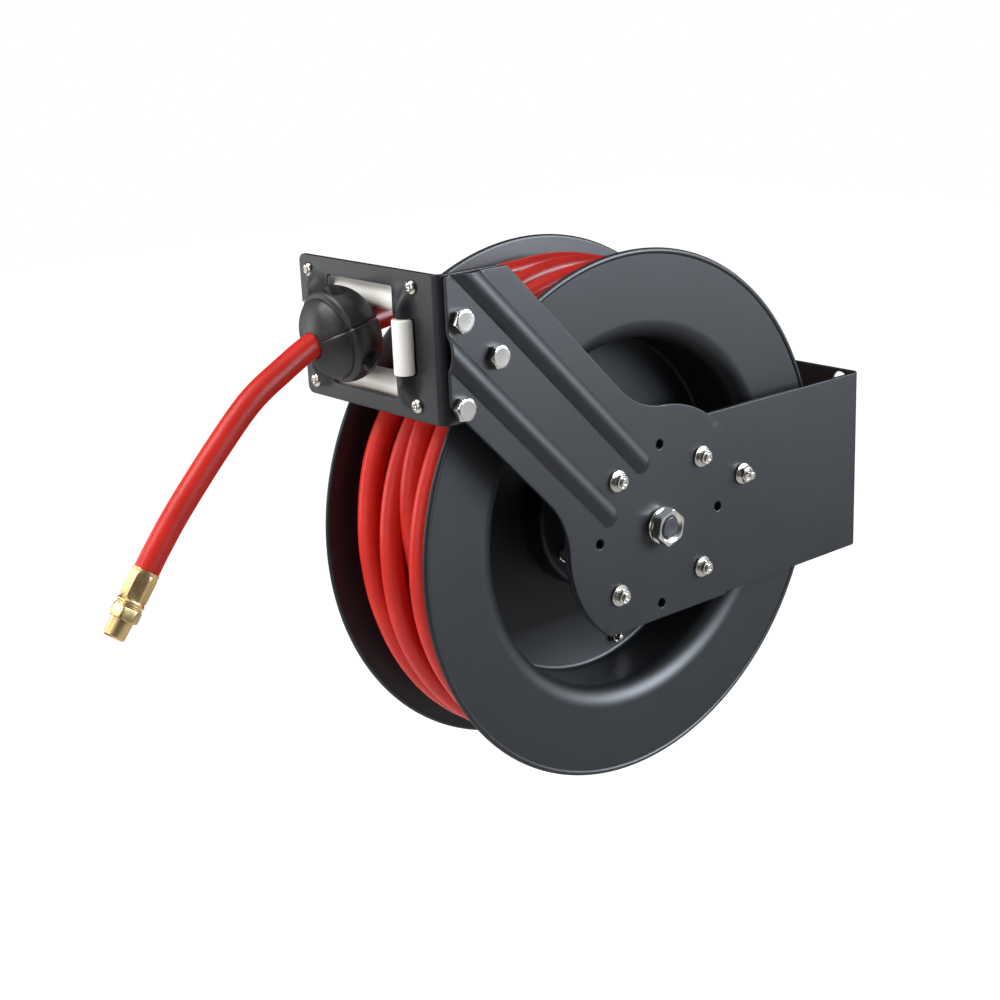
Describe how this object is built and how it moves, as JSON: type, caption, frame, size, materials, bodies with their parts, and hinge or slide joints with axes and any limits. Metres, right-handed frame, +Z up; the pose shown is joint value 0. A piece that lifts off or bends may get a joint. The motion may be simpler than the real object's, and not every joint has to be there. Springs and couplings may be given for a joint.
{
  "type": "retractable air hose reel",
  "caption": "Spring-driven hose reel on a folded U bracket, with a ribbed guide arm, rollers, a ball stop and a threaded hose end.",
  "frame": {"origin": "centre of the base bracket's wall face", "axes": "+X into the wall or bench that carries the reel, +Y along the drum's axle away from the guide arm, +Z up"},
  "size_m": [0.5651, 0.1918, 0.3659],
  "materials": {
    "powder_coat": "semi-matte black powder coat",
    "zinc": "bright zinc plate",
    "brass": "turned brass",
    "hose_rubber": "smooth red rubber",
    "black_rubber": "matte black rubber",
    "white_plastic": "ivory nylon",
    "axle_steel": "dark steel",
    "spring_steel": "blue spring steel",
    "bronze": "sintered bronze"
  },
  "bodies": {
    "frame": {"base_bracket": "powder_coat", "guide_arm": "powder_coat", "guide_plate": "powder_coat", "roller_frame": "powder_coat", "pin_top": "zinc", "pin_low": "zinc", "pin_near": "zinc", "pin_far": "zinc", "axle": "axle_steel", "axle_nut_near": "zinc", "axle_nut_far": "zinc", "spacer_near": "zinc", "spacer_far": "zinc", "air_inlet": "brass", "arm_bolt_1": "zinc", "arm_bolt_2": "zinc", "arm_bolt_3": "zinc", "arm_bolt_4": "zinc", "guide_bolt_1": "zinc", "guide_bolt_2": "zinc", "guide_bolt_3": "zinc", "frame_screw_1": "zinc", "frame_screw_2": "zinc", "frame_screw_3": "zinc", "frame_screw_4": "zinc", "pawl_bolt": "zinc"},
    "drum": {"drum_half_near": "powder_coat", "drum_half_far": "powder_coat", "hub_near": "powder_coat", "hub_bolt_1": "zinc", "hub_bolt_2": "zinc", "hub_bolt_3": "zinc", "hub_bolt_4": "zinc", "drum_bolt_1": "zinc", "drum_bolt_2": "zinc", "drum_bolt_3": "zinc", "drum_bolt_4": "zinc", "ratchet_wheel": "zinc", "bush_near": "bronze", "bush_far": "bronze", "spring_case": "powder_coat", "mainspring": "spring_steel", "swivel_body": "brass", "hose_stub": "hose_rubber", "hose_core": "hose_rubber", "hose_wound": "hose_rubber"},
    "pawl": {"pawl": "zinc"},
    "top_roller": {"roller_top": "white_plastic"},
    "low_roller": {"roller_low": "white_plastic"},
    "near_roller": {"roller_near": "white_plastic"},
    "far_roller": {"roller_far": "white_plastic"},
    "hose_end": {"ball_upper": "black_rubber", "ball_lower": "black_rubber", "ball_screw_1": "zinc", "ball_screw_2": "zinc", "hose_run": "hose_rubber", "hose_tail": "hose_rubber", "hose_ferrule": "brass", "hose_fitting": "brass"}
  },
  "joints": [
    {"name": "drum_spin", "type": "hinge", "parent": "frame", "child": "drum", "pos_m": [-0.2075, 0, 0], "axis": [0, -1, 0], "range_deg": [0, 360], "stiffness_Nm_per_rad": 0.06, "springref_deg": -1604.28},
    {"name": "hose_pull", "type": "slide", "parent": "frame", "child": "hose_end", "axis": [-0.9816, 0, -0.1908], "range_m": [0, 1.01], "deforming": ["hose_run"]},
    {"name": "pawl_swing", "type": "hinge", "parent": "frame", "child": "pawl", "pos_m": [-0.1256, -0.04955, 0.0166], "axis": [0, 1, 0], "range_deg": [0, 25], "stiffness_Nm_per_rad": 0.02, "springref_deg": -28.65},
    {"name": "top_roller_spin", "type": "hinge", "parent": "frame", "child": "top_roller", "pos_m": [-0.3676, 0.0048, 0.1673], "axis": [0, 1, 0], "continuous": true},
    {"name": "low_roller_spin", "type": "hinge", "parent": "frame", "child": "low_roller", "pos_m": [-0.3676, 0.0048, 0.1141], "axis": [0, 1, 0], "continuous": true},
    {"name": "near_roller_spin", "type": "hinge", "parent": "frame", "child": "near_roller", "pos_m": [-0.3831, -0.0412, 0.1437], "axis": [0, 0, 1], "continuous": true},
    {"name": "far_roller_spin", "type": "hinge", "parent": "frame", "child": "far_roller", "pos_m": [-0.3831, 0.0508, 0.1437], "axis": [0, 0, 1], "continuous": true}
  ],
  "couplings": [
    {"joint": "hose_pull", "follows": "drum_spin", "m_per_rad": 0.1599}
  ]
}
